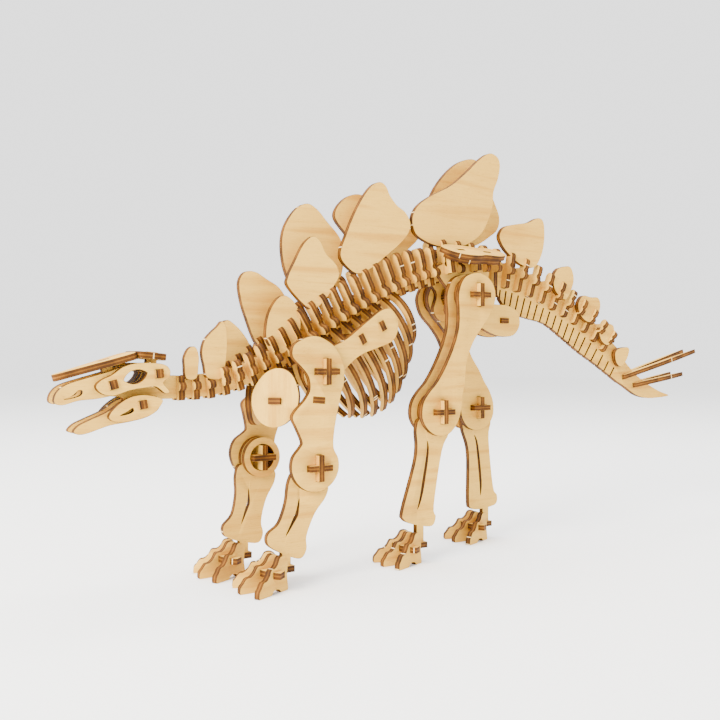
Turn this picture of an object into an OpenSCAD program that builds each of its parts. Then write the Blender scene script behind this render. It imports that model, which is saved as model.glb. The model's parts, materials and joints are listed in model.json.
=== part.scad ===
// Flat-pack plywood skeleton of a plated dinosaur, head towards -X, feet on Z = 0.
// Every piece is cut from one thickness of plywood and held by slots, tabs and pegs.

/* [Plywood] */
// Thickness of every plywood piece
ply = 2.5; // [2.3:0.1:2.6]
// Running gap between layers that turn against each other
gap = 0.25; // [0.2:0.05:0.3]
// Smoothness of the curved outlines, points for each stretch
fine = 4; // [3:1:8]

/* [Spine] */
// Distance between the trunk vertebrae, along the spine
trunk_pitch = 6; // [5.8:0.1:6.2]
// Distance between the tail vertebrae, along the spine
tail_pitch = 9; // [8.6:0.1:9.2]
// Height of the trunk vertebrae's upper lobes above the spine line
lobe_h = 13.5; // [12:0.5:14]
// Sideways distance of the lobes, and of the back plates they hold
lobe_y = 5; // [4.8:0.1:5.2]
// Greatest half width of the rib cage
rib_half_w = 13.5; // [12:0.5:14]
// Depth of the longest rib below the spine line
rib_depth = 47; // [42:1:48]

/* [Legs] */
// Width of the crossed pegs that the legs turn on
peg_w = 10.5; // [10:0.5:11]
// Length of the upper arm between its pivots
humerus_l = 38.5; // [38:0.5:39]
// Length of the thigh between its pivots
femur_l = 57; // [56:0.5:58]
// Swing of each part of the leg, forwards of straight down, in the standing pose
left_arm_turn = 5; // [3:1:7]
right_arm_turn = 19; // [17:1:20]
left_forearm_turn = 22; // [20:1:24]
right_forearm_turn = 12; // [10:1:14]
left_thigh_turn = 22; // [20:1:24]
right_thigh_turn = -21; // [-23:1:-19]
left_shank_turn = 10; // [8:1:12]
right_shank_turn = -8; // [-10:1:-6]

/* [Feet] */
// Angle between neighbouring toes of the front feet
fore_fan = 24; // [22:1:26]
// Angle between neighbouring toes of the hind feet
hind_fan = 20; // [18:0.5:20]
// Length of each toe plate
toe_l = 17; // [16:0.5:18]

/* [Hidden] */
$fn = 48;
left = -1;
right = 1;
x_middle = 60;                     // middle of the length, from the snout to the spikes
shoulder = [-21.5, 84.4];
hip = [62.3, 118.8];
forearm_l = 35;                    // elbow to ankle
shank_l = 50;                      // knee to ankle
bore_r = norm([peg_w / 2, ply / 2]) + gap;
ring_r = 8.4;                      // loose rings on the pegs
play = 0.04;                       // clearance that keeps slotted pieces apart

// Layers, as the distance of each plate's inner face from the middle
snout_in = ply;
cheek_in = 2 * ply;
scapula_in = 14;
humerus_in = scapula_in + ply + gap;
pelvis_in = 3.5;
femur_in = pelvis_in + ply + gap;
shank_in = femur_in + ply + gap;
femur_out = shank_in + 2 * ply + gap;

// Line of the spine, from the skull to the last tail vertebra
spine_knots = [[-90, 79], [-76, 79], [-62, 80], [-48, 84], [-30, 92.5], [-11, 104], [10, 115.5],
    [30, 124.5], [50, 130], [70, 132.5], [88, 133], [104, 130], [125, 122.5], [150, 110.5],
    [172, 95], [190, 82], [206, 74]];
n_neck = 9;
n_ribs = 10;
n_lumbar = 4;
n_hip = 4;
n_tail = 11;

// ---- curves ----
function blend(a, b, c, d, t) = 0.5 * (2 * b + (c - a) * t + (2 * a - 5 * b + 4 * c - d) * t * t
    + (3 * b - a - 3 * c + d) * t * t * t);
function closed_curve(p) = let (m = len(p)) [for (i = [0 : m - 1], k = [0 : fine - 1])
    blend(p[(i + m - 1) % m], p[i], p[(i + 1) % m], p[(i + 2) % m], k / fine)];
function open_curve(p, n) = let (m = len(p)) concat([for (i = [0 : m - 2], k = [0 : n - 1])
    blend(p[max(i - 1, 0)], p[i], p[i + 1], p[min(i + 2, m - 1)], k / n)], [p[m - 1]]);

spine_line = open_curve(spine_knots, 8);
function spine_z(x) = lookup(x, spine_line);
function spine_turn(x) = atan2(spine_z(x + 2) - spine_z(x - 2), 4);
function stations(x0, n, pitch) =
    [for (i = 0, x = x0; i < n; x = x + pitch * cos(spine_turn(x)), i = i + 1) x];
trunk = stations(-76, n_neck + n_ribs + n_lumbar, trunk_pitch);
hips = stations(trunk[n_neck + n_ribs + n_lumbar - 1] + 7, n_hip, 8);
tail = stations(hips[n_hip - 1] + 8, n_tail, tail_pitch);
// A point beside the spine line, h above it
function beside(x, h) = [x - h * sin(spine_turn(x)), spine_z(x) + h * cos(spine_turn(x))];
// End of a bone of length l that hangs from p, swung forwards by turn
function hang(p, l, turn) = [p.x - l * sin(turn), p.y - l * cos(turn)];

// ---- placing ----
// A flat shape standing lengthwise, from distance inner from the middle, on one side
module upright(inner, side = left, thick = ply) {
    translate([0, side > 0 ? inner + thick : -inner, 0]) rotate([90, 0, 0])
        linear_extrude(thick) children();
}
module upright_pair(inner) {
    for (side = [left, right]) upright(inner, side) children();
}
// A flat shape standing crosswise at x, square to the spine line
module crosswise(x) {
    translate([x, 0, spine_z(x)]) rotate([0, -spine_turn(x), 0]) rotate([90, 0, 90])
        translate([0, 0, -ply / 2]) linear_extrude(ply) children();
}
// The same place, seen as a flat shape in the middle plane
module on_spine(x) {
    translate([x, spine_z(x)]) rotate(spine_turn(x)) children();
}
module turned(p, turn) {
    translate(p) rotate(-turn) children();
}
module cross_shape() {
    square([peg_w + 2 * play, ply + 2 * play], center = true);
    square([ply + 2 * play, peg_w + 2 * play], center = true);
}
module light_ply() { color([0.93, 0.82, 0.62]) children(); }
module warm_ply() { color([0.90, 0.77, 0.55]) children(); }
module pale_ply() { color([0.97, 0.89, 0.72]) children(); }

// ---- vertebrae ----
// Stub arms of half span w, a body that reaches down by depth, and lobes up to top
module vertebra(w, depth, top, lobe_r = 2.6, arm_r = 2, body_w = 3.4) {
    difference() {
        union() {
            square([2 * (w - arm_r), 2 * arm_r], center = true);
            translate([-body_w, -depth + 1]) square([2 * body_w, depth + min(top, 4) - 1]);
            translate([1 - body_w, -depth]) square([2 * body_w - 2, 2]);
            for (s = [-1, 1]) {
                translate([s * (body_w - 1), 1 - depth]) circle(1);
                translate([s * (w - arm_r), 0]) circle(arm_r);
                if (top > 5) {
                    translate([s * lobe_y - lobe_r, 0]) square([2 * lobe_r, top - lobe_r]);
                    translate([s * lobe_y, top - lobe_r]) circle(lobe_r);
                }
            }
        }
        translate([-ply / 2, -depth - 1]) square([ply, depth + 1]);
        if (top > 5) for (s = [-1, 1]) translate([s * (lobe_y + lobe_r + 0.4), arm_r + 0.9]) circle(1.1);
    }
}
// One rib on each side: the space between two round arcs
module rib_arcs(w, depth) {
    k = depth / 2 - 1.5;
    m = w - 3;
    r = (m * m + k * k) / (2 * m);
    for (s = [-1, 1]) scale([s, 1]) intersection() {
        translate([1.6, -depth]) square([w, depth - 1.5]);
        difference() {
            translate([w - r, -depth / 2 - 1.5]) circle(r, $fn = 96);
            translate([w - r - 2, -depth / 2 - 2.6]) circle(r - 1.2, $fn = 96);
        }
    }
}
function rib_w(k) = rib_half_w - 0.12 * pow(k - 4, 2);
function rib_d(k) = rib_depth - 0.75 * pow(k - 4, 2);
function trunk_top(i) = i < 3 ? 4 : lobe_h * min(1, 0.42 + (i - 3) * 0.083);

module neck_vertebrae() {
    light_ply() difference() {
        for (i = [0 : n_neck - 1]) crosswise(trunk[i])
            vertebra(5.4 + 0.3 * i, 5.4 + 0.1 * i, trunk_top(i), 1.7 + 0.08 * i, 1.6, 3.6);
        back_plate_solids();
    }
}
module rib_plate(k) {
    light_ply() difference() {
        crosswise(trunk[n_neck + k]) {
            vertebra(9.2, 6, trunk_top(n_neck + k));
            rib_arcs(rib_w(k), rib_d(k));
        }
        back_plate_solids();
    }
}
module hip_vertebrae() {
    light_ply() difference() {
        union() {
            for (i = [0 : n_lumbar - 1]) crosswise(trunk[n_neck + n_ribs + i])
                vertebra(9.2, 6, lobe_h - i * 0.5);
            for (i = [0 : n_hip - 1]) crosswise(hips[i]) {
                vertebra(9.2, 5.5, 14.5 - i * 1.2);
                if (i == 0 || i == 2) for (s = [-1, 1])
                    translate([s * 9.8 - 1.4, -1.5]) square([2.8, 9.5]);
            }
        }
        back_plate_solids();
        pelvis_plates();
    }
}
module tail_vertebrae() {
    light_ply() difference() {
        for (i = [0 : n_tail - 1]) crosswise(tail[i])
            vertebra(8.4 - 0.25 * i, 8.6 - 0.25 * i, 9.6 - 0.3 * i, 2.2 - 0.04 * i, 1.8 - 0.04 * i,
                4.9 - 0.1 * i);
        back_plate_solids();
    }
}

// ---- boards ----
module spine_band(xs, up, down) {
    polygon(concat([for (x = xs) beside(x, up)], [for (i = [len(xs) - 1 : -1 : 0]) beside(xs[i], -down)]));
}
module station_notches(xs) {
    for (x = xs) on_spine(x) translate([-ply / 2, 0]) square([ply, 30]);
}
// A round key that ties the tail board to the end of the spine board
module board_key(grow = 0) {
    translate(key_at) circle(1.5 + grow);
    translate([key_at.x, key_at.y - 0.7 - grow]) square([4.5, 1.4 + 2 * grow]);
}
key_at = beside(60, -2.7);
module head_core() {
    polygon(closed_curve([[-106, 79], [-98, 83.5], [-89, 85.5], [-83, 83.5], [-79, 82], [-79, 76.5],
        [-84, 74], [-86, 69.5], [-92, 68.5], [-97, 70], [-98, 75], [-103, 76]]));
    translate([-103, 80]) rotate(16) translate([-1, 0]) square([4, 9.2]);
    translate([-89.5, 84]) rotate(-6) square([4, 8.3]);
}
module spine_board() {
    warm_ply() upright(-ply / 2) difference() {
        union() {
            head_core();
            spine_band([for (i = [0 : 47]) -84 + i * 3.1277], 4.2, 4.6);
            polygon([[-45, 84], [-38, 86], [-35, 69], [-38, 67], [-42, 69]]);
        }
        station_notches(trunk);
        station_notches([for (i = [0, 1]) hips[i]]);
        for (p = head_peg_places) square_hole(p);
        eye();
        translate([-43.5, coracoid_at.z - 1.25 - ply / 2 - play]) square([5.5, ply + 2 * play]);
        board_key(play);
    }
}
module tail_blade() {
    polygon(closed_curve([[176, 94], [186, 86], [195, 79.5], [205, 74.5], [214, 71], [222, 68.6],
        [212, 67.6], [202, 67.6], [193, 69.5], [184, 74], [174, 79.5], [170, 88]]));
}
module tail_board() {
    warm_ply() upright(-ply / 2) union() {
        difference() {
            union() {
                spine_band([for (i = [0 : 20]) 63.2 + i * 1.4], 4.2, 4.6);
                polygon(concat([for (i = [0 : 30]) beside(88 + i * 3, 3.4)],
                    open_curve([[178, 76.6], [160, 86.5], [147, 93], [134, 100.5], [121, 107.5],
                        [108, 110], [96, 113], [88, 121]], 4)));
                tail_blade();
            }
            station_notches([for (i = [2 : n_hip - 1]) hips[i]]);
            station_notches(tail);
            for (i = [0 : 19]) on_spine(91 + i * 4.6)
                translate([-0.45, -40]) square([0.9, 30.6 + i * 0.15]);
            for (i = [0, 1]) translate(spike_places[i]) rotate(spike_rise[i])
                translate([-5 - play, -ply / 2 - play]) square([22, ply + 2 * play]);
        }
        board_key();
    }
}
head_peg_places = [[-103.4, 80.1, 15], [-86.3, 84.0, 5], [-92.5, 72.7, 10]];
module square_hole(p, w = 3.1) {
    translate([p.x, p.y]) rotate(p.z) square(w, center = true);
}

// ---- head ----
module eye() {
    translate([-95.2, 82.9]) rotate(17) intersection() {
        translate([0, -3.1]) circle(5.6);
        translate([0, 2.8]) circle(5.3);
    }
}
module snout_plates() {
    light_ply() upright_pair(snout_in) difference() {
        polygon(closed_curve([[-123.3, 74.2], [-122.6, 77.5], [-119.3, 80.3], [-112, 82.6],
            [-104.6, 84.7], [-98, 86.8], [-88, 86.5], [-83.5, 84], [-84.5, 79], [-93, 78.6],
            [-100.2, 76.7], [-108, 75.2], [-115, 74.6], [-120.5, 73.2]]));
        polygon(closed_curve([[-119.9, 75.2], [-117.2, 76.4], [-115, 78.3], [-113.6, 78],
            [-114.2, 76.5], [-117, 75.6]]));
        for (i = [0, 1]) square_hole(head_peg_places[i]);
        eye();
    }
}
module cheek_plates() {
    pale_ply() upright_pair(cheek_in) difference() {
        polygon(closed_curve([[-109.6, 80], [-107.5, 82], [-103.6, 83.8], [-100, 86.4], [-95.5, 87.8],
            [-90.5, 88], [-84.6, 87.4], [-82.2, 85.4], [-82.4, 82.6], [-84.8, 80.6], [-82.4, 77.4],
            [-84, 76.6], [-87.6, 79.2], [-91.5, 78.9], [-97.4, 78], [-102.8, 76.3], [-106.6, 76.6],
            [-109, 78.2]]));
        eye();
        for (i = [0, 1]) square_hole(head_peg_places[i]);
    }
}
module jaw_plates() {
    light_ply() upright_pair(snout_in) difference() {
        polygon(closed_curve([[-116.8, 63.6], [-115, 65.8], [-111.5, 67.5], [-104.3, 70.6],
            [-99, 74.2], [-92, 76], [-85.5, 75], [-85.5, 71], [-90, 68], [-97, 66.4], [-104, 65.4],
            [-111, 63.2], [-114.5, 62.6]]));
        square_hole(head_peg_places[2]);
    }
}
module jaw_cheeks() {
    pale_ply() upright_pair(cheek_in) difference() {
        polygon(closed_curve([[-105, 68.6], [-102.4, 72.2], [-97.9, 75.2], [-93, 76.2], [-88, 75.6],
            [-85, 74.2], [-86.3, 71.6], [-89.6, 68.8], [-96.5, 67], [-102.4, 66.8]]));
        square_hole(head_peg_places[2]);
        polygon(closed_curve([[-101, 69], [-98.4, 70.4], [-96.4, 71.6], [-96, 70.4], [-98, 69.4]]));
    }
}
module square_pegs() {
    warm_ply() {
        for (p = head_peg_places) upright(-cheek_in - ply - 0.6, left, 2 * (cheek_in + ply + 0.6))
            square_hole(p);
        for (p = scapula_peg_places)
            upright(-scapula_in - ply - 0.5, left, 2 * (scapula_in + ply + 0.5)) scapula_hole(p);
    }
}
module roof_cut() {
    upright(-ply / 2) head_core();
}
module roof_front() {
    light_ply() difference() {
        translate([-94.5, 0, 89.4]) rotate([0, -16.2, 0]) linear_extrude(ply)
            polygon(closed_curve([[0.2, -7], [0.2, 7], [-7, 7.6], [-15, 5.6], [-23, 3.4], [-28.4, 1.8],
                [-28.4, -1.8], [-23, -3.4], [-15, -5.6], [-7, -7.6]]));
        roof_cut();
        translate([-94.4, -20, 80]) cube([20, 40, 20]);
    }
}
module roof_back() {
    light_ply() difference() {
        translate([-94.4, 0, 89.8]) rotate([0, 5, 0]) linear_extrude(ply)
            polygon(closed_curve([[0, -7], [0, 7], [4, 7.6], [9, 6.4], [12, 4], [12, -4], [9, -6.4],
                [4, -7.6]]));
        roof_cut();
        translate([-114.4, -20, 80]) cube([20, 40, 20]);
    }
}

// ---- back plates ----
left_outlines = [
    [[-74.3, 82], [-75, 87], [-75, 90], [-73.6, 93], [-71.8, 94.2], [-70.2, 93.5], [-69.2, 90.5],
        [-69.3, 87], [-70.2, 82]],
    [[-65.5, 82], [-67, 87], [-67.9, 92], [-66.8, 96.5], [-64, 99.8], [-61.5, 102], [-59.3, 104.2],
        [-57.6, 101], [-57.4, 94], [-58, 88], [-59.5, 82]],
    [[-36, 91.5], [-41, 97], [-41.4, 102], [-40.2, 107.5], [-37.4, 112.5], [-33.5, 115.2],
        [-29, 113], [-26.6, 108.5], [-25.6, 104], [-26.8, 98], [-31, 93.5]],
    [[-21, 110], [-31.2, 118.6], [-31.4, 123], [-28.4, 129], [-24.2, 136.6], [-19.8, 140.2],
        [-16.2, 138.4], [-13.4, 133.4], [-8.6, 129.4], [-6.9, 124.8], [-9.2, 120.6], [-14, 114]],
    [[2, 126], [-4.6, 130.2], [-6.2, 134.5], [-3.6, 141.4], [0.4, 150.4], [5.2, 158.8],
        [10, 164.6], [14.4, 166.6], [17.6, 165], [19.6, 161.4], [23.4, 157.4], [28, 154.8],
        [30.8, 150.6], [30, 146], [25, 140.4], [16, 133.4], [9, 128.4]],
    [[44, 141.5], [35, 144.8], [32.4, 149], [32.2, 153.4], [35.4, 158.6], [43, 163.8], [54.4, 169.6],
        [63.8, 176.8], [72, 184], [78.4, 187.8], [83.6, 186.6], [85.2, 182.6], [83.8, 176],
        [81, 169.6], [80.4, 162.6], [77.4, 155.4], [72.6, 148.4], [64, 143], [54, 141]]];
right_outlines = [
    [[-56, 84], [-59, 92], [-58.4, 99], [-54.4, 104.9], [-50.6, 103.4], [-46.6, 99.6], [-43.6, 94.6],
        [-44, 88], [-49, 84]],
    [[-40, 95], [-45.6, 107], [-48, 115], [-48.4, 121], [-45.8, 124.8], [-41, 125], [-36, 122.4],
        [-30, 119], [-26.4, 113], [-28, 105], [-33, 98]],
    [[-14, 113], [-22, 117.5], [-26.6, 125], [-28.6, 133], [-28.6, 140.6], [-26.4, 147],
        [-21.6, 153.2], [-16.4, 155.6], [-11.4, 153.4], [-6.5, 148.6], [-0.6, 143], [1.6, 137.5],
        [1.6, 130], [-1, 122], [-7, 115]],
    [[20, 131], [11, 137], [4, 143.6], [-2.4, 150.4], [-1.6, 155.4], [3.4, 160.4], [9.6, 162.4],
        [16, 160.6], [24, 156], [34, 151.6], [43, 146.4], [38, 140.6], [29, 134]],
    [[62, 143.5], [53, 149], [49, 158], [52, 168], [60, 178], [69, 184.6], [78, 186.6], [85, 182],
        [87, 174], [91, 167], [94.2, 160], [93, 154], [88, 150], [80, 145.4], [71, 143]]];
tail_outlines = [
    [[99, 136], [90, 141.4], [85.6, 146.4], [85.2, 150], [88.6, 153.6], [95.6, 155.4],
        [104, 157], [110.6, 159.8], [114.6, 158.6], [115.6, 152.4], [114.8, 145.6], [112.4, 139.6],
        [108, 135]],
    [[124, 124], [122.4, 130], [124.6, 134.6], [129, 136.6], [135, 136.8], [137.4, 131],
        [135.4, 125], [131, 120]],
    [[142, 114], [141.4, 118.6], [145, 122.6], [151, 122], [156.4, 122], [158.4, 118.4],
        [156.6, 113], [151.4, 109], [146, 110]],
    [[158, 104], [160, 107], [165, 108.4], [169.6, 107], [168.8, 100.6], [165, 97], [160, 99]],
    [[171.4, 93], [175, 95.4], [182.6, 95.6], [181, 89.6], [176, 85.4], [172, 88]]];
module back_plate(points, y, side) {
    upright(y - ply / 2, side) polygon(closed_curve(points));
}
module back_plate_solids() {
    for (i = [0 : 5]) back_plate(left_outlines[i], left_y(i), left);
    for (p = right_outlines) back_plate(p, lobe_y, right);
    for (i = [0 : 4]) back_plate(tail_outlines[i], tail_y(i), left);
}
function left_y(i) = i < 2 ? 2.6 : lobe_y;
function tail_y(i) = i == 0 ? lobe_y : lobe_y - 0.4 * i;

// ---- tail spikes ----
spike_places = [[186, 80.6], [195, 75.6]];
spike_rise = [13.5, 8.5];
spike_l = [58.8, 36.6];
module tail_spikes() {
    warm_ply() for (i = [0, 1], s = [-1, 1])
        translate([spike_places[i].x, 0, spike_places[i].y]) rotate([0, -spike_rise[i], 0])
            translate([0, 0, -ply / 2]) linear_extrude(ply)
                intersection() {
                    translate([-50, s > 0 ? 0 : -50]) square([200, 50]);
                    spike_shape(spike_l[i], s);
                }
}
module spike_shape(l, s) {
    polygon(concat([[-5, 0]], open_curve([[-4, s * 2.4], [l * 0.3, s * 3.8], [l * 0.65, s * 4.4],
        [l, s * 4]], 4), open_curve([[l, s * 4], [l * 0.62, s * 2.2], [l * 0.3, s * 1.2], [6, 0]], 4)));
}

// ---- shoulders ----
scapula_peg_places = [[trunk[n_neck + 3], trunk[n_neck + 4]], [trunk[n_neck + 5], trunk[n_neck + 6]]];
module scapula_hole(p) {
    x = (p[0] + p[1]) / 2;
    on_spine(x) translate([0, -10]) square([2.8, 4.2], center = true);
}
module scapulae() {
    pale_ply() upright_pair(scapula_in) difference() {
        polygon(closed_curve([[-29.6, 86], [-26, 91], [-19, 93.6], [-10, 97.4], [0, 104.6], [8, 110],
            [13, 110.4], [16, 106.6], [16.2, 101.6], [13.4, 97], [6, 94.2], [-3, 91],
            [-10.6, 85], [-14, 78], [-20, 75], [-26.4, 77], [-29.8, 81]]));
        translate(shoulder) circle(bore_r);
        for (p = scapula_peg_places) scapula_hole(p);
    }
}
coracoid_at = [-38.6, 8.9, 74];
module coracoid_place(side) {
    translate([coracoid_at.x, side * coracoid_at.y, coracoid_at.z]) rotate([0, 0, side * 45])
        rotate([90, 0, 0]) children();
}
module coracoids() {
    pale_ply() for (side = [left, right]) coracoid_place(side) translate([0, 0, -ply / 2])
        linear_extrude(ply) difference() {
            polygon(closed_curve([[-9.6, -3.2], [-8.8, 3.4], [-4, 9.8], [1.8, 11.8], [7, 9.2], [9.7, 2.2],
                [8.8, -5], [4.4, -10.2], [-1, -11.9], [-6.6, -9.4]]));
            translate([0, -1.25]) square([5 + 2 * play, ply + 2 * play], center = true);
        }
}
module girdle_strip() {
    warm_ply() difference() {
        translate([0, 0, coracoid_at.z - 1.25 - ply / 2]) linear_extrude(ply) girdle_outline();
        coracoids();
    }
}
module girdle_outline() {
    difference() {
        union() {
            polygon([[-43, -3.4], [-43, 3.4], [-36, 9.4], [-33, 9.4], [-33, -9.4], [-36, -9.4]]);
            for (side = [left, right]) translate([coracoid_at.x, side * coracoid_at.y])
                rotate(side * 45) translate([-2.5, side > 0 ? -7 : -2.5]) square([5, 9.5]);
        }
        translate([-38 - play, -ply / 2 - play]) square([12, ply + 2 * play]);
    }
}

// ---- pelvis ----
module pelvis_plates() {
    warm_ply() upright_pair(pelvis_in) difference() {
        polygon(closed_curve([[46, 131], [54, 134.5], [66, 135.8], [74, 136], [78.4, 131.6], [77, 124],
            [80, 116.4], [90, 115.6], [97, 112.6], [98.6, 106.4], [94, 101], [84, 100.6],
            [74, 104], [66, 108.6], [57, 107], [52, 112], [54, 120], [49, 126]]));
        translate(hip) circle(bore_r);
        translate([88, 108]) square([5, ply], center = true);
    }
}
module pelvis_strip() {
    warm_ply() translate([88, 0, 108]) cube([5, 2 * (pelvis_in + ply + 1), ply], center = true);
}
module ilium_wings() {
    pale_ply() difference() {
        for (side = [left, right]) translate([hip.x, side * 12.4, 138.4]) rotate([-side * 30, 0, 0])
            scale([1, side, 1]) {
                linear_extrude(ply, center = true) difference() {
                    ilium_outline();
                    for (x = [-8, 8]) translate([x, 0.4]) square([4.6, 1.4], center = true);
                }
                translate([1, -0.6, -ply - play]) linear_extrude(ply, center = true)
                    scale(0.86) ilium_outline();
            }
        hip_vertebrae();
        back_plate_solids();
        pelvis_plates();
    }
}
module ilium_outline() {
    polygon(closed_curve([[-18.4, -1], [-14, -4.2], [-6, -5], [4, -4], [13, -4.4], [18, -1.6],
        [18.2, 2.4], [13, 4.4], [5, 4.2], [0, 5.6], [-7, 6], [-14, 4]]));
}

// ---- legs ----
// Two strips slotted into each other, end to end from distance a to distance b
module cross_peg(p, a, b, side) {
    half = (b - a) / 2;
    difference() {
        upright(a, side, b - a) translate(p) square([peg_w, ply], center = true);
        upright(a + half - play, side, half + 1) translate(p) square([ply + 2 * play, 2 * ply], center = true);
    }
    difference() {
        upright(a, side, b - a) translate(p) square([ply, peg_w], center = true);
        upright(a - 1, side, half + 1 + play) translate(p) square([2 * ply, ply + 2 * play], center = true);
    }
}
module ring(p, inner, side) {
    upright(inner, side) difference() {
        translate(p) circle(ring_r);
        translate(p) cross_shape();
    }
}
module humerus_outline() {
    polygon(closed_curve([[-15.6, 4.6], [-15.4, 9], [-11.4, 12], [-7, 13.6], [-2, 13], [3.6, 10],
        [8, 4], [9, -3], [8, -8.5], [6.6, -18], [6, -25], [6.4, -30.4], [9, -34.6], [9.4, -39.6],
        [7, -44.4], [2, -47.6], [-4, -47.8], [-9, -45], [-12, -40.4], [-12, -35], [-9, -30.6],
        [-8.4, -28.4], [-11.5, -23], [-13.6, -19.4], [-12.4, -16.4], [-8.6, -12], [-6.6, -7.6],
        [-7.8, -2.6], [-11.4, 1]]));
}
module key_peg() {
    translate([-2.2, -11.6]) square([5.4, ply], center = true);
}
module humerus(side, turn) {
    light_ply() upright(humerus_in, side) difference() {
        turned(shoulder, turn) difference() {
            humerus_outline();
            key_peg();
        }
        translate(shoulder) cross_shape();
        translate(hang(shoulder, humerus_l, turn)) cross_shape();
    }
}
module arm_pegs(side, turn) {
    elbow = hang(shoulder, humerus_l, turn);
    warm_ply() {
        cross_peg(shoulder, scapula_in - 0.6, humerus_in + 2 * ply, side);
        cross_peg(elbow, scapula_in - 2 * ply - gap, humerus_in + 2 * ply, side);
        upright(humerus_in - 0.2, side, 3) turned(shoulder, turn) key_peg();
    }
}
module femur_outline() {
    polygon(closed_curve([[-9.8, 5], [-5, 8.8], [1, 9.9], [6.8, 7.6], [10, 2], [9.6, -6], [7, -14],
        [4.8, -22], [4.6, -31], [7, -40], [8, -46], [9.6, -52], [9.8, -58.6], [7, -64.8],
        [1.4, -67.8], [-5, -67], [-9.8, -63.4], [-11.6, -57.6], [-10.4, -52], [-7.4, -45], [-5.2, -33],
        [-5, -21], [-7.4, -12.6], [-11, -5], [-11.4, 1]]));
}
module femurs(side, turn) {
    light_ply() {
        upright(femur_in, side) femur_flat(turn);
        upright(femur_out, side) femur_flat(turn);
    }
}
module femur_flat(turn) {
    difference() {
        turned(hip, turn) femur_outline();
        translate(hip) cross_shape();
        translate(hang(hip, femur_l, turn)) cross_shape();
    }
}
module thigh_pegs(side, turn) {
    knee = hang(hip, femur_l, turn);
    warm_ply() {
        cross_peg(hip, 2.2, femur_out + 2 * ply, side);
        cross_peg(knee, femur_in - ply - 0.5, femur_out + 2 * ply, side);
        ring(hip, femur_in + ply, side);
        ring(hip, femur_out - ply, side);
        ring(knee, femur_out - ply, side);
    }
}
module shin_outline(l, round_r) {
    polygon(closed_curve([[-7, -4], [-9.2, -9], [-7.4, -17], [-7.4, -25.4], [-10.4, -l + 4.6],
        [-9.4, -l + 1], [-6, -l - 0.4], [0, -l - 1], [7, -l - 0.6], [8.4, -l + 3.6], [6.4, -l + 8.6],
        [6.8, -17], [9.3, -9], [7, -4]]));
    circle(round_r);
}
module slit(l) {
    polygon(closed_curve([[-2.4, -13.6], [-0.6, -19], [-0.8, -l + 13], [-2.6, -l + 6],
        [-2.2, -l + 12], [-1.8, -19]]));
}
module forearm(side, arm_turn, turn) {
    elbow = hang(shoulder, humerus_l, arm_turn);
    shin(side, scapula_in, elbow, turn, forearm_l);
    warm_ply() upright(scapula_in - ply - play, side) difference() {
        translate(elbow) circle(ring_r);
        translate(elbow) circle(bore_r);
    }
}
module shank(side, thigh_turn, turn) {
    knee = hang(hip, femur_l, thigh_turn);
    shin(side, shank_in, knee, turn, shank_l);
}
module shin(side, inner, joint, turn, l) {
    foot = hang(joint, l, turn);
    light_ply() upright(inner, side) difference() {
        union() {
            turned(joint, turn) shin_outline(l, 8.6);
            translate([foot.x - 2, 6]) square([4, foot.y - 5]);
        }
        turned(joint, turn) slit(l);
        translate(joint) circle(bore_r);
    }
}

// ---- feet ----
module toe_outline() {
    intersection() {
        polygon(closed_curve([[-0.5, 0.8], [0.2, 6], [-0.2, 11], [1.6, 13.4], [4.4, 13.4], [6, 11],
            [7.6, 9.8], [9.6, 9.6], [11, 7.4], [12.6, 6], [14.4, 5.6], [15.8, 3.8], [toe_l, 2.2],
            [toe_l - 0.6, -0.5], [10.5, -0.5], [8.4, 1.4], [5.4, 1.4], [3, -0.5], [0.6, -0.5]]));
        translate([-2, 0]) square([toe_l + 4, 20]);
    }
}
// Toes fan out from a point behind the ankle, and the band and the shin pass through them
module foot(side, inner, joint, turn, l, fan) {
    ankle = hang(joint, l, turn);
    light_ply() difference() {
        translate([ankle.x + 6, side * (inner + ply / 2), 0]) {
            difference() {
                for (k = [-1 : 1]) rotate(k * fan) translate([-8.8, ply / 2, 0]) scale([-1, 1, 1])
                    rotate([90, 0, 0]) linear_extrude(ply) toe_outline();
                band(fan, play);
            }
            band(fan);
        }
        shin(side, inner, joint, turn, l);
    }
}
module band(fan, grow = 0) {
    reach = fan + 14;
    translate([0, 0, 6 - grow]) linear_extrude(ply + 2 * grow) {
        intersection() {
            difference() {
                circle(17.6 + grow);
                circle(13.4 - grow);
            }
            polygon([[0, 0], [-30 * cos(reach), -30 * sin(reach)], [-36, 0],
                [-30 * cos(reach), 30 * sin(reach)]]);
        }
        translate([-14 - grow, -2.6 - grow]) square([11 + 2 * grow, 5.2 + 2 * grow]);
    }
}

// ---- the assembly, moved so that its origin is the middle of its footprint ----
module placed() { translate([-x_middle, 0, 0]) children(); }

placed() spine_board();
placed() tail_board();
placed() snout_plates();
placed() cheek_plates();
placed() jaw_plates();
placed() jaw_cheeks();
placed() square_pegs();
placed() roof_front();
placed() roof_back();
placed() neck_vertebrae();
for (k = [0 : n_ribs - 1])
    placed() rib_plate(k);
placed() hip_vertebrae();
placed() tail_vertebrae();
for (i = [0 : 5])
    placed() light_ply() back_plate(left_outlines[i], left_y(i), left);
for (i = [0 : 4])
    placed() pale_ply() back_plate(right_outlines[i], lobe_y, right);
for (i = [0 : 2])
    placed() light_ply() back_plate(tail_outlines[i], tail_y(i), left);
placed() light_ply() for (i = [3, 4]) back_plate(tail_outlines[i], tail_y(i), left);  // tail_plates_small
placed() tail_spikes();
placed() scapulae();
placed() coracoids();
placed() girdle_strip();
placed() pelvis_plates();
placed() ilium_wings();
placed() pelvis_strip();
placed() humerus(left, left_arm_turn);  // left_humerus
placed() arm_pegs(left, left_arm_turn);  // left_arm_pegs
placed() forearm(left, left_arm_turn, left_forearm_turn);  // left_forearm
placed()  // left_forefoot
    foot(left, scapula_in, hang(shoulder, humerus_l, left_arm_turn), left_forearm_turn,
        forearm_l, fore_fan);
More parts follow.
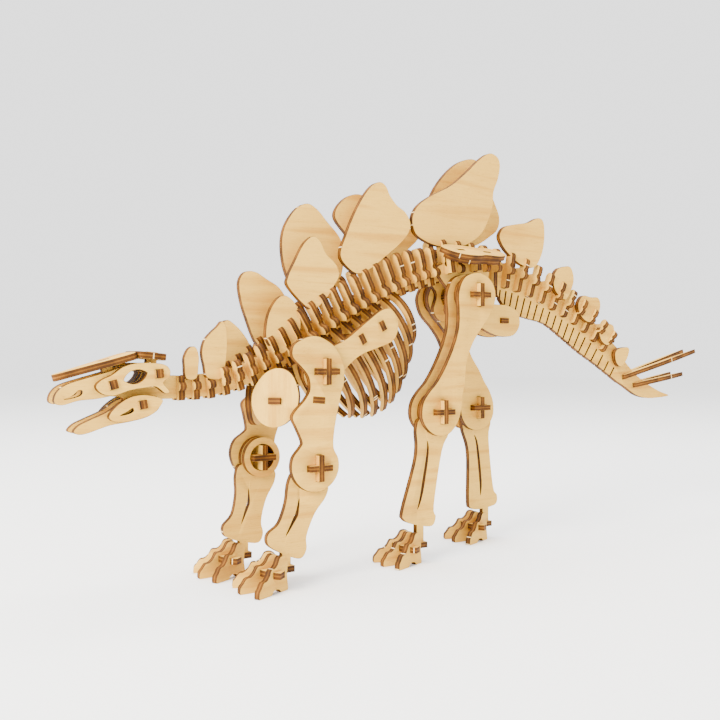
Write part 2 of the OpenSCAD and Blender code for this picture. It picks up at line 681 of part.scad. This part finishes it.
placed() humerus(right, right_arm_turn);  // right_humerus
placed() arm_pegs(right, right_arm_turn);  // right_arm_pegs
placed()  // right_forearm
    forearm(right, right_arm_turn, right_forearm_turn);
placed()  // right_forefoot
    foot(right, scapula_in, hang(shoulder, humerus_l, right_arm_turn), right_forearm_turn,
        forearm_l, fore_fan);
placed() femurs(left, left_thigh_turn);  // left_femurs
placed() thigh_pegs(left, left_thigh_turn);  // left_thigh_pegs
placed() shank(left, left_thigh_turn, left_shank_turn);  // left_shank
placed()  // left_hindfoot
    foot(left, shank_in, hang(hip, femur_l, left_thigh_turn), left_shank_turn,
        shank_l, hind_fan);
placed() femurs(right, right_thigh_turn);  // right_femurs
placed() thigh_pegs(right, right_thigh_turn);  // right_thigh_pegs
placed() shank(right, right_thigh_turn, right_shank_turn);  // right_shank
placed()  // right_hindfoot
    foot(right, shank_in, hang(hip, femur_l, right_thigh_turn), right_shank_turn,
        shank_l, hind_fan);
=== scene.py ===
import json
import math

import bmesh
import bpy
import numpy as np
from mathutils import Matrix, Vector

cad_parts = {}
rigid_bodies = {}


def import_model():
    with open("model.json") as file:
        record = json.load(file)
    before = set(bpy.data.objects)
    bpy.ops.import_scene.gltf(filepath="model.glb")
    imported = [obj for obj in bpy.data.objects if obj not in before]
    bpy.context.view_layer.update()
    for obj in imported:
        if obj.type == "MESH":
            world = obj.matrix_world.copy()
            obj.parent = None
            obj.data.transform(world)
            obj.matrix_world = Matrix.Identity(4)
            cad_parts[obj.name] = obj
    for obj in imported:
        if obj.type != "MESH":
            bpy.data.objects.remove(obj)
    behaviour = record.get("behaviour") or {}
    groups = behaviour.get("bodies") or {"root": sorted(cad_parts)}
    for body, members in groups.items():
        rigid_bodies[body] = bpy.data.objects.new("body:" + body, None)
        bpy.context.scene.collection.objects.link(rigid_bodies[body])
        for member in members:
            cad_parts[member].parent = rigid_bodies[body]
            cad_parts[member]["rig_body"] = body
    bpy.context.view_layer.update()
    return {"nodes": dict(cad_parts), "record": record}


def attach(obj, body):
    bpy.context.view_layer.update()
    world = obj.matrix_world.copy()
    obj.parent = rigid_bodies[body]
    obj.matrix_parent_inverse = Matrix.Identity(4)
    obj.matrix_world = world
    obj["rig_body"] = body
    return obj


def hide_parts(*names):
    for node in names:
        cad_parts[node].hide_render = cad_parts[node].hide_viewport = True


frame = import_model()
mm = 0.001
plyThickness = 2.5 * mm


def linearColour(hexText):
    channels = [int(hexText[i:i + 2], 16) / 255 for i in (0, 2, 4)]
    return tuple(c / 12.92 if c <= 0.04045 else ((c + 0.055) / 1.055) ** 2.4 for c in channels) + (1,)


def addNode(tree, kind, links=None, **settings):
    # A setting named in_NAME or in_NUMBER fills that input; any other is a property of the node
    node = tree.nodes.new("ShaderNode" + kind)
    for key, value in settings.items():
        if not key.startswith("in_"):
            setattr(node, key, value)
    for key, value in settings.items():
        if key.startswith("in_"):
            place = key[3:]
            node.inputs[int(place) if place.isdigit() else place.replace("_", " ")].default_value = value
    for place, socket in (links or {}).items():
        tree.links.new(socket, node.inputs[place])
    return node


def ramp(tree, factor, stops):
    node = addNode(tree, "ValToRGB", {"Fac": factor})
    elements = node.color_ramp.elements
    while len(elements) < len(stops):
        elements.new(0.5)
    for element, (position, colour) in zip(elements, stops):
        element.position = position
        element.color = colour
    return node.outputs["Color"]


def blendColours(tree, kind, factor, first, second):
    node = addNode(tree, "Mix", data_type="RGBA", blend_type=kind)
    for place, value in ((0, factor), (6, first), (7, second)):
        if isinstance(value, (float, tuple)):
            node.inputs[place].default_value = value
        else:
            tree.links.new(value, node.inputs[place])
    return node.outputs[2]


def newMaterial(name):
    material = bpy.data.materials.new(name)
    material.use_nodes = True
    tree = material.node_tree
    surface = tree.nodes["Principled BSDF"]
    surface.inputs["IOR"].default_value = 1.45
    surface.inputs["Specular IOR Level"].default_value = 0.18  # raw wood and paper have nearly no gloss
    return material, tree, surface


def sheetPoint(tree, stretch):
    # Place on the plywood sheet in millimetres: along the grain, across it, and through the layers
    sheet = addNode(tree, "Attribute", attribute_name="sheet")
    return addNode(tree, "Mapping", {"Vector": sheet.outputs["Vector"]}, in_Scale=stretch).outputs["Vector"]


woodFace = {
    "light": "deb04d",          # birch veneer between the growth lines
    "grain": "cc9739",          # the darker growth lines
    "fleck": "a87628",          # short pores along the grain
    "smoothest": 0.54,
    "roughest": 0.70,
    "pieceToPiece": 0.8,        # how far each piece's own tone shows, for the plain birch slot
    "pieceToPiecePale": 0.35,
    "pieceToPieceWarm": 1.0,
}


def birchFace(name, pieceToPiece):
    # Sanded birch veneer: pale and matt, with faint growth lines along the grain and short pores.
    # The stretches are per millimetre: broad lines 6 mm apart, fine ones under 0.5 mm, pores 0.2 mm
    material, tree, surface = newMaterial(name)
    broad = addNode(tree, "TexNoise", {"Vector": sheetPoint(tree, (0.012, 0.16, 0.0))},
                    in_Scale=1.0, in_Detail=3.0, in_Distortion=0.4)
    fine = addNode(tree, "TexNoise", {"Vector": sheetPoint(tree, (0.11, 2.3, 0.0))},
                   in_Scale=1.0, in_Detail=4.0, in_Roughness=0.65)
    pores = addNode(tree, "TexNoise", {"Vector": sheetPoint(tree, (0.42, 5.2, 0.0))},
                    in_Scale=1.0, in_Detail=2.0)
    cloud = addNode(tree, "TexNoise", {"Vector": sheetPoint(tree, (0.05, 0.07, 0.0))},
                    in_Scale=1.0, in_Detail=2.0)
    light = linearColour(woodFace["light"])
    grain = linearColour(woodFace["grain"])
    lines = ramp(tree, broad.outputs["Fac"], [(0.34, grain), (0.5, light), (0.62, light), (0.74, grain)])
    streaks = ramp(tree, fine.outputs["Fac"], [(0.30, (0.80, 0.75, 0.66, 1)), (0.60, (1, 1, 1, 1))])
    colour = blendColours(tree, "MULTIPLY", 0.55, lines, streaks)
    specks = ramp(tree, pores.outputs["Fac"], [(0.30, linearColour(woodFace["fleck"])), (0.36, (1, 1, 1, 1))])
    colour = blendColours(tree, "MULTIPLY", 0.5, colour, specks)
    patches = ramp(tree, cloud.outputs["Fac"], [(0.3, (0.93, 0.90, 0.84, 1)), (0.7, (1.0, 1.0, 1.0, 1))])
    colour = blendColours(tree, "MULTIPLY", 0.8, colour, patches)
    tone = addNode(tree, "Attribute", attribute_name="tone")
    pieceTone = ramp(tree, tone.outputs["Fac"], [(0.0, (0.90, 0.86, 0.78, 1)), (1.0, (1.0, 1.0, 1.0, 1))])
    colour = blendColours(tree, "MULTIPLY", pieceToPiece, colour, pieceTone)
    tree.links.new(colour, surface.inputs["Base Color"])
    rough = addNode(tree, "MapRange", {"Value": fine.outputs["Fac"]},
                    in_3=woodFace["smoothest"], in_4=woodFace["roughest"])
    tree.links.new(rough.outputs["Result"], surface.inputs["Roughness"])
    bump = addNode(tree, "Bump", {"Height": fine.outputs["Fac"]}, in_Strength=0.12, in_Distance=0.00006)
    tree.links.new(bump.outputs["Normal"], surface.inputs["Normal"])
    return material


burntEdge = {
    "outer": "5a3306",          # the two outer layers, browned by the laser
    "core": "82500e",           # the middle layer, whose end grain stays lighter
    "glue": "2c1803",           # the glue lines between the layers
    "char": "281603",           # places where the beam lingered
    "roughness": 0.7,
}


def laserEdge(name):
    # Edge of three-layer plywood cut by a laser: brown, striped by the layers, darker in patches
    material, tree, surface = newMaterial(name)
    sheet = addNode(tree, "Attribute", attribute_name="sheet")
    parts = addNode(tree, "SeparateXYZ", {"Vector": sheet.outputs["Vector"]})
    through = addNode(tree, "Math", {0: parts.outputs["Z"]}, operation="DIVIDE", in_1=plyThickness / mm)
    outer = linearColour(burntEdge["outer"])
    core = linearColour(burntEdge["core"])
    glue = linearColour(burntEdge["glue"])
    layers = ramp(tree, through.outputs["Value"], [
        (0.0, glue), (0.07, outer), (0.30, outer), (0.345, glue), (0.39, core), (0.61, core),
        (0.655, glue), (0.70, outer), (0.93, outer), (1.0, glue)])
    patches = addNode(tree, "TexNoise", {"Vector": sheetPoint(tree, (0.16, 0.16, 0.05))},
                      in_Scale=1.0, in_Detail=3.0)
    striations = addNode(tree, "TexNoise", {"Vector": sheetPoint(tree, (6.0, 6.0, 0.15))},
                         in_Scale=1.0, in_Detail=2.0)
    scorch = ramp(tree, patches.outputs["Fac"], [
        (0.36, linearColour(burntEdge["char"])), (0.62, (1, 1, 1, 1))])
    colour = blendColours(tree, "MULTIPLY", 0.62, layers, scorch)
    combed = ramp(tree, striations.outputs["Fac"], [(0.3, (0.72, 0.66, 0.6, 1)), (0.65, (1, 1, 1, 1))])
    colour = blendColours(tree, "MULTIPLY", 0.6, colour, combed)
    tree.links.new(colour, surface.inputs["Base Color"])
    surface.inputs["Roughness"].default_value = burntEdge["roughness"]
    bump = addNode(tree, "Bump", {"Height": striations.outputs["Fac"]}, in_Strength=0.3, in_Distance=0.00008)
    tree.links.new(bump.outputs["Normal"], surface.inputs["Normal"])
    return material


smokedRim = {
    "dark": "583a0e",
    "light": "8f6624",
    "roughness": 0.75,
}


def scorchedRim(name):
    # The thin smoked line that the laser leaves round every face
    material, tree, surface = newMaterial(name)
    smoke = addNode(tree, "TexNoise", {"Vector": sheetPoint(tree, (0.3, 0.3, 0.3))},
                    in_Scale=1.0, in_Detail=2.0)
    colour = ramp(tree, smoke.outputs["Fac"], [
        (0.35, linearColour(smokedRim["dark"])), (0.7, linearColour(smokedRim["light"]))])
    tree.links.new(colour, surface.inputs["Base Color"])
    surface.inputs["Roughness"].default_value = smokedRim["roughness"]
    return material


tornFibre = {
    "dark": "d3ad73",
    "light": "efd8a6",
    "roughness": 0.8,
}


def tornWood(name):
    # Pale fibres where a piece was snapped out of its sheet
    material, tree, surface = newMaterial(name)
    fibres = addNode(tree, "TexNoise", {"Vector": sheetPoint(tree, (5.0, 5.0, 1.0))},
                     in_Scale=1.0, in_Detail=2.0)
    colour = ramp(tree, fibres.outputs["Fac"], [
        (0.3, linearColour(tornFibre["dark"])), (0.7, linearColour(tornFibre["light"]))])
    tree.links.new(colour, surface.inputs["Base Color"])
    surface.inputs["Roughness"].default_value = tornFibre["roughness"]
    return material


faceMaterials = {
    "birch_ply": birchFace("birch_veneer", woodFace["pieceToPiece"]),
    "birch_ply_pale": birchFace("birch_veneer_pale", woodFace["pieceToPiecePale"]),
    "birch_ply_warm": birchFace("birch_veneer_warm", woodFace["pieceToPieceWarm"]),
}
edgeMaterial = laserEdge("laser_burnt_edge")
rimMaterial = scorchedRim("smoked_rim")
nibMaterial = tornWood("torn_birch_fibre")
print("materials made")


plates = {
    "rim": 0.13 * mm,           # width of the worn and smoked corner round each face
    "merge": 0.002 * mm,        # corners closer than this are one
    "flat": math.radians(0.4),  # faces that bend less than this are one
    "corner": math.radians(80),  # edges that bend more than this are worn
    "crease": math.radians(34),
    "smallestFace": 0.02 * mm * mm,
    "smallestEdge": 0.05 * mm,
}


def islands(mesh):
    # Number of the separate solid that each vertex belongs to
    count = len(mesh.vertices)
    ends = np.empty(len(mesh.edges) * 2, np.int32)
    mesh.edges.foreach_get("vertices", ends)
    ends = ends.reshape(-1, 2)
    label = np.arange(count)
    while True:
        lowest = np.minimum(label[ends[:, 0]], label[ends[:, 1]])
        before = label.copy()
        np.minimum.at(label, ends[:, 0], lowest)
        np.minimum.at(label, ends[:, 1], lowest)
        label = label[label]
        if (label == before).all():
            return label


def plateAxes(normals, areas):
    # Normal of a plate is the direction with the greatest area; its grain runs lengthwise along the model
    leading = normals[np.arange(len(normals)), np.abs(normals).argmax(axis=1)]
    keys, inverse = np.unique(np.round(normals * np.sign(leading)[:, None], 2), axis=0, return_inverse=True)
    totals = np.bincount(inverse.reshape(-1), weights=areas)
    chosen = inverse.reshape(-1) == totals.argmax()
    through = normals[np.flatnonzero(chosen)[0]]
    along = np.array((1.0, 0.0, 0.0)) if abs(through[0]) < 0.7 else np.array((0.0, 0.0, 1.0))
    along = along - through * (along @ through)
    along = along / np.linalg.norm(along)
    return along, np.cross(through, along), through


def refine(source):
    # A cleaned copy of a plate, with its face corners taken off
    shape = bmesh.new()
    shape.from_mesh(source.data)
    bmesh.ops.remove_doubles(shape, verts=shape.verts, dist=plates["merge"])
    bmesh.ops.dissolve_limit(shape, angle_limit=plates["flat"], verts=shape.verts, edges=shape.edges)
    bmesh.ops.recalc_face_normals(shape, faces=shape.faces)
    corners = [e for e in shape.edges if len(e.link_faces) == 2 and e.is_convex
               and e.calc_face_angle(0) > plates["corner"]
               and min(f.calc_area() for f in e.link_faces) > plates["smallestFace"]
               and e.calc_length() > plates["smallestEdge"]]
    bmesh.ops.bevel(shape, geom=corners, offset=plates["rim"], offset_type="OFFSET", segments=1,
                    affect="EDGES", clamp_overlap=True)
    mesh = bpy.data.meshes.new(source.name)
    shape.to_mesh(mesh)
    shape.free()
    return mesh


def describeSheet(mesh, random):
    # Stores each point's place on its sheet, and gives faces, cut edges and rims their materials
    label = islands(mesh)
    points = np.empty(len(mesh.vertices) * 3)
    mesh.vertices.foreach_get("co", points)
    points = points.reshape(-1, 3)
    count = len(mesh.polygons)
    normals = np.empty(count * 3)
    areas = np.empty(count)
    first = np.empty(count, np.int32)
    mesh.polygons.foreach_get("normal", normals)
    mesh.polygons.foreach_get("area", areas)
    mesh.polygons.foreach_get("loop_start", first)
    normals = normals.reshape(-1, 3)
    loopVertex = np.empty(len(mesh.loops), np.int32)
    mesh.loops.foreach_get("vertex_index", loopVertex)
    faceLabel = label[loopVertex[first]]
    sheet = np.zeros((len(points), 3))
    tone = np.zeros(len(points))
    kind = np.zeros(count, np.int32)
    solids = []
    for solid in np.unique(label):
        mine = label == solid
        faces = faceLabel == solid
        if not faces.any():
            continue
        along, across, through = plateAxes(normals[faces], areas[faces])
        place = points[mine] @ np.stack((along, across, through), axis=1) / mm
        place[:, 2] -= place[:, 2].min()
        place[:, :2] += random.uniform(-400, 400, 2)
        sheet[mine] = place
        tone[mine] = random.uniform(0, 1)
        facing = np.abs(normals[faces] @ through)
        # Slot 0 is the veneer, 1 the cut edge and 2 the slanting rim between them
        kind[faces] = np.where(facing > 0.93, 0, np.where(facing < 0.4, 1, 2))
        solids.append((np.flatnonzero(faces), through, points[mine]))
    mesh.attributes.new("sheet", "FLOAT_VECTOR", "POINT").data.foreach_set("vector", sheet.ravel())
    mesh.attributes.new("tone", "FLOAT", "POINT").data.foreach_set("value", tone)
    mesh.polygons.foreach_set("material_index", kind)
    mesh.polygons.foreach_set("use_smooth", np.ones(count, bool))
    mesh.set_sharp_from_angle(angle=plates["crease"])
    return solids, kind, normals, areas


nibs = {
    "width": 0.4 * mm,
    "stand": 0.09 * mm,
    "perSolid": 2,
    "depth": 4 * mm,            # bridges sit on the outside of a plate, not in its slots
    "smallestFace": 1.2 * mm * mm,
    "smallestSolid": 14 * mm,   # shorter solids are freed from the sheet without a bridge on a long side
}


def snapPlaces(mesh, solids, kind, normals, areas, random):
    # Places on the outer cut edges where the sheet's bridges held each plate
    places = []
    for faces, through, points in solids:
        cuts = [i for i in faces if kind[i] == 1 and areas[i] > nibs["smallestFace"]]
        if not cuts or np.ptp(points, axis=0).max() < nibs["smallestSolid"]:
            continue
        centres = {i: np.array(mesh.polygons[i].center) for i in cuts}
        outward = [i for i in cuts if (points @ normals[i]).max() - centres[i] @ normals[i] < nibs["depth"]]
        if not outward:
            continue
        picked = random.choice(outward, min(nibs["perSolid"], len(outward)), replace=False)
        places += [(centres[i], normals[i], through) for i in picked]
    return places


def nibMesh(name, places):
    corners = np.array([(a, b, c) for a in (-1, 1) for b in (-1, 1) for c in (-1, 1)], float)
    faces = [(0, 1, 3, 2), (4, 6, 7, 5), (0, 4, 5, 1), (2, 3, 7, 6), (0, 2, 6, 4), (1, 5, 7, 3)]
    points = []
    polygons = []
    for centre, outward, through in places:
        sideways = np.cross(through, outward)
        base = len(points)
        for a, b, c in corners:
            points.append(centre + sideways * a * nibs["width"] / 2 + outward * b * nibs["stand"]
                          + through * c * plyThickness * 0.46)
        polygons += [tuple(base + i for i in face) for face in faces]
    mesh = bpy.data.meshes.new(name)
    mesh.from_pydata([tuple(p) for p in points], [], polygons)
    mesh.attributes.new("sheet", "FLOAT_VECTOR", "POINT").data.foreach_set(
        "vector", (np.array(points) / mm).ravel())
    return mesh


def showPlates():
    slots = {part["node"]: part["material_slot"] for part in frame["record"]["subparts"]}
    nibPlaces = {}
    for number, (name, source) in enumerate(sorted(frame["nodes"].items())):
        random = np.random.default_rng(100 + number)
        mesh = refine(source)
        solids, kind, normals, areas = describeSheet(mesh, random)
        for material in (faceMaterials[slots[name]], edgeMaterial, rimMaterial):
            mesh.materials.append(material)
        piece = bpy.data.objects.new(name + "_ply", mesh)
        bpy.context.scene.collection.objects.link(piece)
        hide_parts(name)
        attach(piece, source["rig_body"])
        if "pegs" not in name and "strip" not in name:
            found = snapPlaces(mesh, solids, kind, normals, areas, random)
            nibPlaces.setdefault(source["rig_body"], []).extend(found)
    for body, places in sorted(nibPlaces.items()):
        mesh = nibMesh(body + "_bridge_nibs", places)
        mesh.materials.append(nibMaterial)
        piece = bpy.data.objects.new(mesh.name, mesh)
        bpy.context.scene.collection.objects.link(piece)
        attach(piece, body)


showPlates()
print("plates refined")


studio = {
    "floorSize": 6.0,
    "paper": "fafaf9",
    "paperLight": "fdfdfc",
    "skyStrength": 2.2,
    "aim": (0, 0, 0.09),
    "cameraPlace": (-0.2602, -0.3085, 0.089),
    "cameraTurn": (90, 0, -34),
    "lens": 42.5,
    "filmWidth": 36,
}


def buildFloor():
    half = studio["floorSize"] / 2
    mesh = bpy.data.meshes.new("studio_floor")
    corners = [(-half, -half, 0), (half, -half, 0), (half, half, 0), (-half, half, 0)]
    mesh.from_pydata(corners, [], [(0, 1, 2, 3)])
    material, tree, surface = newMaterial("white_paper")
    paper = addNode(tree, "TexNoise", {"Vector": addNode(tree, "TexCoord").outputs["Object"]}, in_Scale=900.0)
    colour = ramp(tree, paper.outputs["Fac"], [
        (0.3, linearColour(studio["paper"])), (0.7, linearColour(studio["paperLight"]))])
    tree.links.new(colour, surface.inputs["Base Color"])
    surface.inputs["Roughness"].default_value = 0.95
    mesh.materials.append(material)
    floor = bpy.data.objects.new("studio_floor", mesh)
    bpy.context.scene.collection.objects.link(floor)
    floor.location.z = -0.05 * mm


def addLight(name, place, size, watts, colour):
    light = bpy.data.lights.new(name, "AREA")
    light.shape = "DISK"
    light.size = size
    light.energy = watts
    light.color = linearColour(colour)[:3]
    lamp = bpy.data.objects.new(name, light)
    bpy.context.scene.collection.objects.link(lamp)
    lamp.location = place
    lamp.rotation_euler = (Vector(studio["aim"]) - Vector(place)).to_track_quat("-Z", "Y").to_euler()


def buildStudio():
    buildFloor()
    world = bpy.data.worlds.new("white_studio")
    bpy.context.scene.world = world
    world.use_nodes = True
    background = world.node_tree.nodes["Background"]
    background.inputs["Color"].default_value = linearColour("ffffff")
    background.inputs["Strength"].default_value = studio["skyStrength"]
    addLight("key_front_left", (-1.25, -0.35, 0.6), 0.6, 52, "fffaf0")
    addLight("top_softbox", (0.1, 0.1, 1.2), 1.0, 22, "ffffff")
    camera = bpy.data.objects.new("camera", bpy.data.cameras.new("camera"))
    bpy.context.scene.collection.objects.link(camera)
    camera.location = studio["cameraPlace"]
    camera.rotation_euler = [math.radians(a) for a in studio["cameraTurn"]]
    camera.data.lens = studio["lens"]
    camera.data.sensor_width = studio["filmWidth"]
    camera.data.clip_start = 0.01
    bpy.context.scene.camera = camera


buildStudio()
print("studio built")
